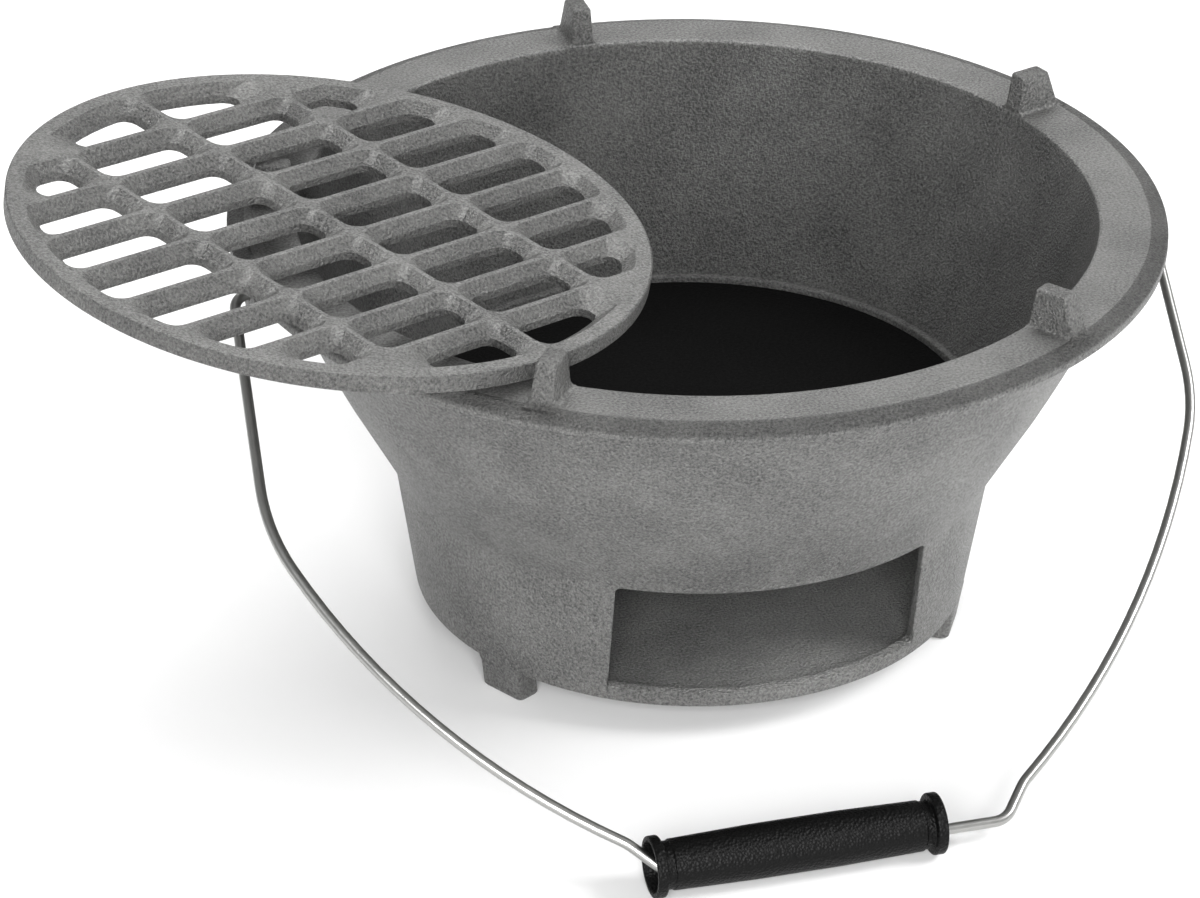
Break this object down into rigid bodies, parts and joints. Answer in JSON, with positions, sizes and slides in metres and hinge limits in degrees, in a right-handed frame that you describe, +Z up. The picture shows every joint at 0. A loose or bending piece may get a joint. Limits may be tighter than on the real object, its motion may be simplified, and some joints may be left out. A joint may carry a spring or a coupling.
{
  "type": "charcoal table grill",
  "caption": "Round cast-iron charcoal grill with a footed base, draught window, pot lugs, loose fire plate and grate, and a wire bail with a plastic grip.",
  "frame": {"origin": "on the table, in the plane of the foot bottoms, under the middle of the bowl", "axes": "+Z up along the bowl axis, -Y out through the draught window, X along the bail's hinge line"},
  "size_m": [0.4399, 0.3821, 0.2031],
  "materials": {
    "body_iron": "sand-cast, bare grey iron",
    "plate_iron": "sand-cast, soot black",
    "grate_iron": "sand-cast, bare grey iron",
    "bail_steel": "bright drawn wire",
    "grip_plastic": "fine pebble grain"
  },
  "bodies": {
    "stove": {"stove_body": "body_iron"},
    "plate": {"fire_plate": "plate_iron"},
    "grate": {"cooking_grate": "grate_iron"},
    "bail": {"bail_wire": "bail_steel"},
    "grip": {"bail_grip": "grip_plastic"}
  },
  "joints": [
    {"name": "bail_swing", "type": "hinge", "parent": "stove", "child": "bail", "pos_m": [0, 0, 0.154], "axis": [-1, 0, 0], "range_deg": [0, 44]},
    {"name": "grip_spin", "type": "hinge", "parent": "bail", "child": "grip", "pos_m": [-0.0219, -0.19595, 0.0114], "axis": [1, 0, 0], "continuous": true},
    {"name": "grate_lift", "type": "slide", "parent": "stove", "child": "grate", "axis": [0, 0, 1], "range_m": [0, 0.1]},
    {"name": "plate_lift", "type": "slide", "parent": "stove", "child": "plate", "axis": [0, 0, 1], "range_m": [0, 0.05]}
  ]
}
